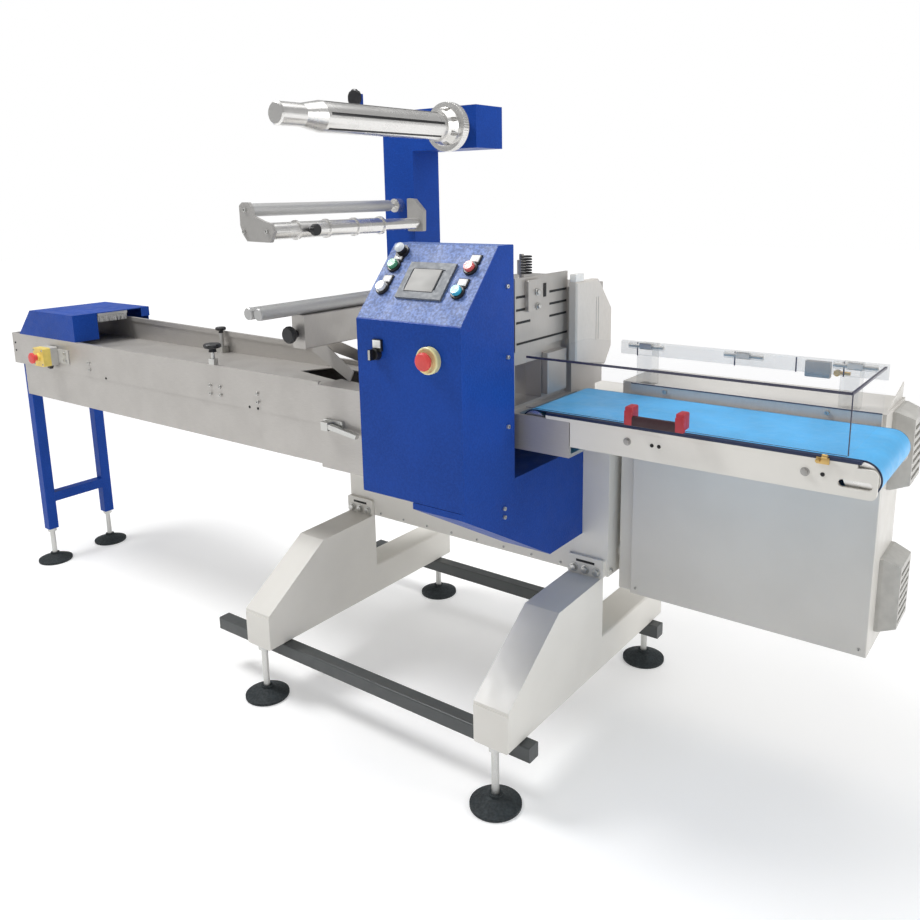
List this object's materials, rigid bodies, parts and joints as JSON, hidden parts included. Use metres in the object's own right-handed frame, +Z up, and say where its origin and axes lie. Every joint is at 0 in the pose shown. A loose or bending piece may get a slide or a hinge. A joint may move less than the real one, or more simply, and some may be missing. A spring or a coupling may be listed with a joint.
{
  "type": "horizontal flow wrapper",
  "caption": "Packaging machine with a long infeed trough, film stand, console on an arm and a covered discharge belt.",
  "frame": {"origin": "on the floor, under the middle of the machine's overall box", "axes": "+X towards the discharge end, -Y the operator's side, +Z up"},
  "size_m": [3.158, 1.0058, 1.7795],
  "materials": {
    "frame_paint": "satin off-white powder coat",
    "blue_paint": "hammered blue paint",
    "cabinet_paint": "light grey powder coat",
    "black_paint": "black paint",
    "stainless": "brushed stainless sheet",
    "bright_steel": "ground and chromed",
    "zinc_steel": "zinc-plated",
    "grey_aluminium": "matt anodised",
    "rubber_black": "black rubber",
    "black_plastic": "moulded black plastic",
    "white_plastic": "white plastic",
    "red_plastic": "red plastic",
    "green_plastic": "green plastic",
    "cyan_plastic": "blue plastic",
    "yellow_plastic": "yellow plastic",
    "grey_plastic": "light grey plastic",
    "belt_blue": "blue polyurethane belt",
    "handle_red": "dull red plastic",
    "clear_acrylic": "clear acrylic",
    "brush_white": "white bristle",
    "screen_black": "dark panel frame"
  },
  "bodies": {
    "machine": {"leg_frame_left": "frame_paint", "leg_frame_right": "frame_paint", "tie_bars": "black_paint", "foot_pads": "rubber_black", "foot_stems": "zinc_steel", "machine_body": "frame_paint", "body_side_plate": "frame_paint", "body_brackets": "frame_paint", "infeed_legs": "blue_paint", "infeed_trough": "stainless", "infeed_skirt": "stainless", "infeed_guide": "stainless", "infeed_hood": "blue_paint", "hood_brush": "brush_white", "guide_clamps": "zinc_steel", "hand_knobs": "black_plastic", "stop_box": "grey_plastic", "stop_box_lid": "yellow_plastic", "forming_housing": "stainless", "former_plates": "stainless", "toggle_latch": "zinc_steel", "film_stand": "blue_paint", "tension_bar": "bright_steel", "roller_plates": "grey_aluminium", "roller_shafts": "bright_steel", "film_arm": "stainless", "console_box": "blue_paint", "console_arm": "blue_paint", "touch_screen": "screen_black", "button_collars": "black_plastic", "estop_ring": "white_plastic", "head_housing": "stainless", "head_plate": "stainless", "gear_cover": "grey_aluminium", "head_fittings": "stainless", "discharge_frame": "frame_paint", "discharge_belt": "belt_blue", "discharge_rollers": "bright_steel", "discharge_rail": "stainless", "cover_rail": "grey_aluminium", "cabinet": "cabinet_paint", "cabinet_panel": "cabinet_paint", "filter_fans": "grey_plastic"},
    "discharge_cover": {"discharge_cover": "clear_acrylic", "cover_handle": "handle_red", "hinge_leaves": "zinc_steel"},
    "film_spindle": {"film_spindle": "bright_steel", "spindle_flange": "bright_steel"},
    "guide_roller": {"guide_roller": "grey_aluminium"},
    "film_rod_left": {"film_rod_left": "grey_aluminium"},
    "film_rod_right": {"film_rod_right": "grey_aluminium"},
    "stop_box_button": {"stop_box_button": "red_plastic"},
    "estop_button": {"estop_button": "red_plastic"},
    "selector_switch": {"selector_switch": "black_plastic"},
    "push_button_green": {"push_button_green": "green_plastic"},
    "push_button_white": {"push_button_white": "white_plastic"},
    "push_button_red": {"push_button_red": "red_plastic"},
    "push_button_blue": {"push_button_blue": "cyan_plastic"}
  },
  "joints": [
    {"name": "cover_hinge", "type": "hinge", "parent": "machine", "child": "discharge_cover", "pos_m": [1.1685, 0.0483, 1.078], "axis": [-1, 0, 0], "range_deg": [0, 90]},
    {"name": "spindle_turn", "type": "hinge", "parent": "machine", "child": "film_spindle", "pos_m": [0.284, -0.477, 1.638], "axis": [0, 1, 0], "continuous": true},
    {"name": "guide_roller_turn", "type": "hinge", "parent": "machine", "child": "guide_roller", "pos_m": [0.042, -0.374, 1.417], "axis": [0, 1, 0], "continuous": true},
    {"name": "film_rod_left_turn", "type": "hinge", "parent": "machine", "child": "film_rod_left", "pos_m": [0.042, -0.4, 1.1475], "axis": [0, 1, 0], "continuous": true},
    {"name": "film_rod_right_turn", "type": "hinge", "parent": "machine", "child": "film_rod_right", "pos_m": [0.082, -0.4, 1.1475], "axis": [0, 1, 0], "continuous": true},
    {"name": "stop_box_press", "type": "slide", "parent": "machine", "child": "stop_box_button", "axis": [0, 1, 0], "range_m": [0, 0.004], "stiffness_N_per_m": 400, "springref_m": -0.003},
    {"name": "estop_press", "type": "slide", "parent": "machine", "child": "estop_button", "axis": [0, 1, 0], "range_m": [0, 0.004], "stiffness_N_per_m": 400, "springref_m": -0.003},
    {"name": "selector_turn", "type": "hinge", "parent": "machine", "child": "selector_switch", "pos_m": [0.566, -0.472, 1.103], "axis": [0, 1, 0], "range_deg": [-45, 45]},
    {"name": "push_green", "type": "slide", "parent": "machine", "child": "push_button_green", "axis": [0, 0.75, -0.6615], "range_m": [0, 0.004], "stiffness_N_per_m": 400, "springref_m": -0.003},
    {"name": "push_white", "type": "slide", "parent": "machine", "child": "push_button_white", "axis": [0, 0.75, -0.6615], "range_m": [0, 0.004], "stiffness_N_per_m": 400, "springref_m": -0.003},
    {"name": "push_red", "type": "slide", "parent": "machine", "child": "push_button_red", "axis": [0, 0.75, -0.6615], "range_m": [0, 0.004], "stiffness_N_per_m": 400, "springref_m": -0.003},
    {"name": "push_blue", "type": "slide", "parent": "machine", "child": "push_button_blue", "axis": [0, 0.75, -0.6615], "range_m": [0, 0.004], "stiffness_N_per_m": 400, "springref_m": -0.003}
  ]
}
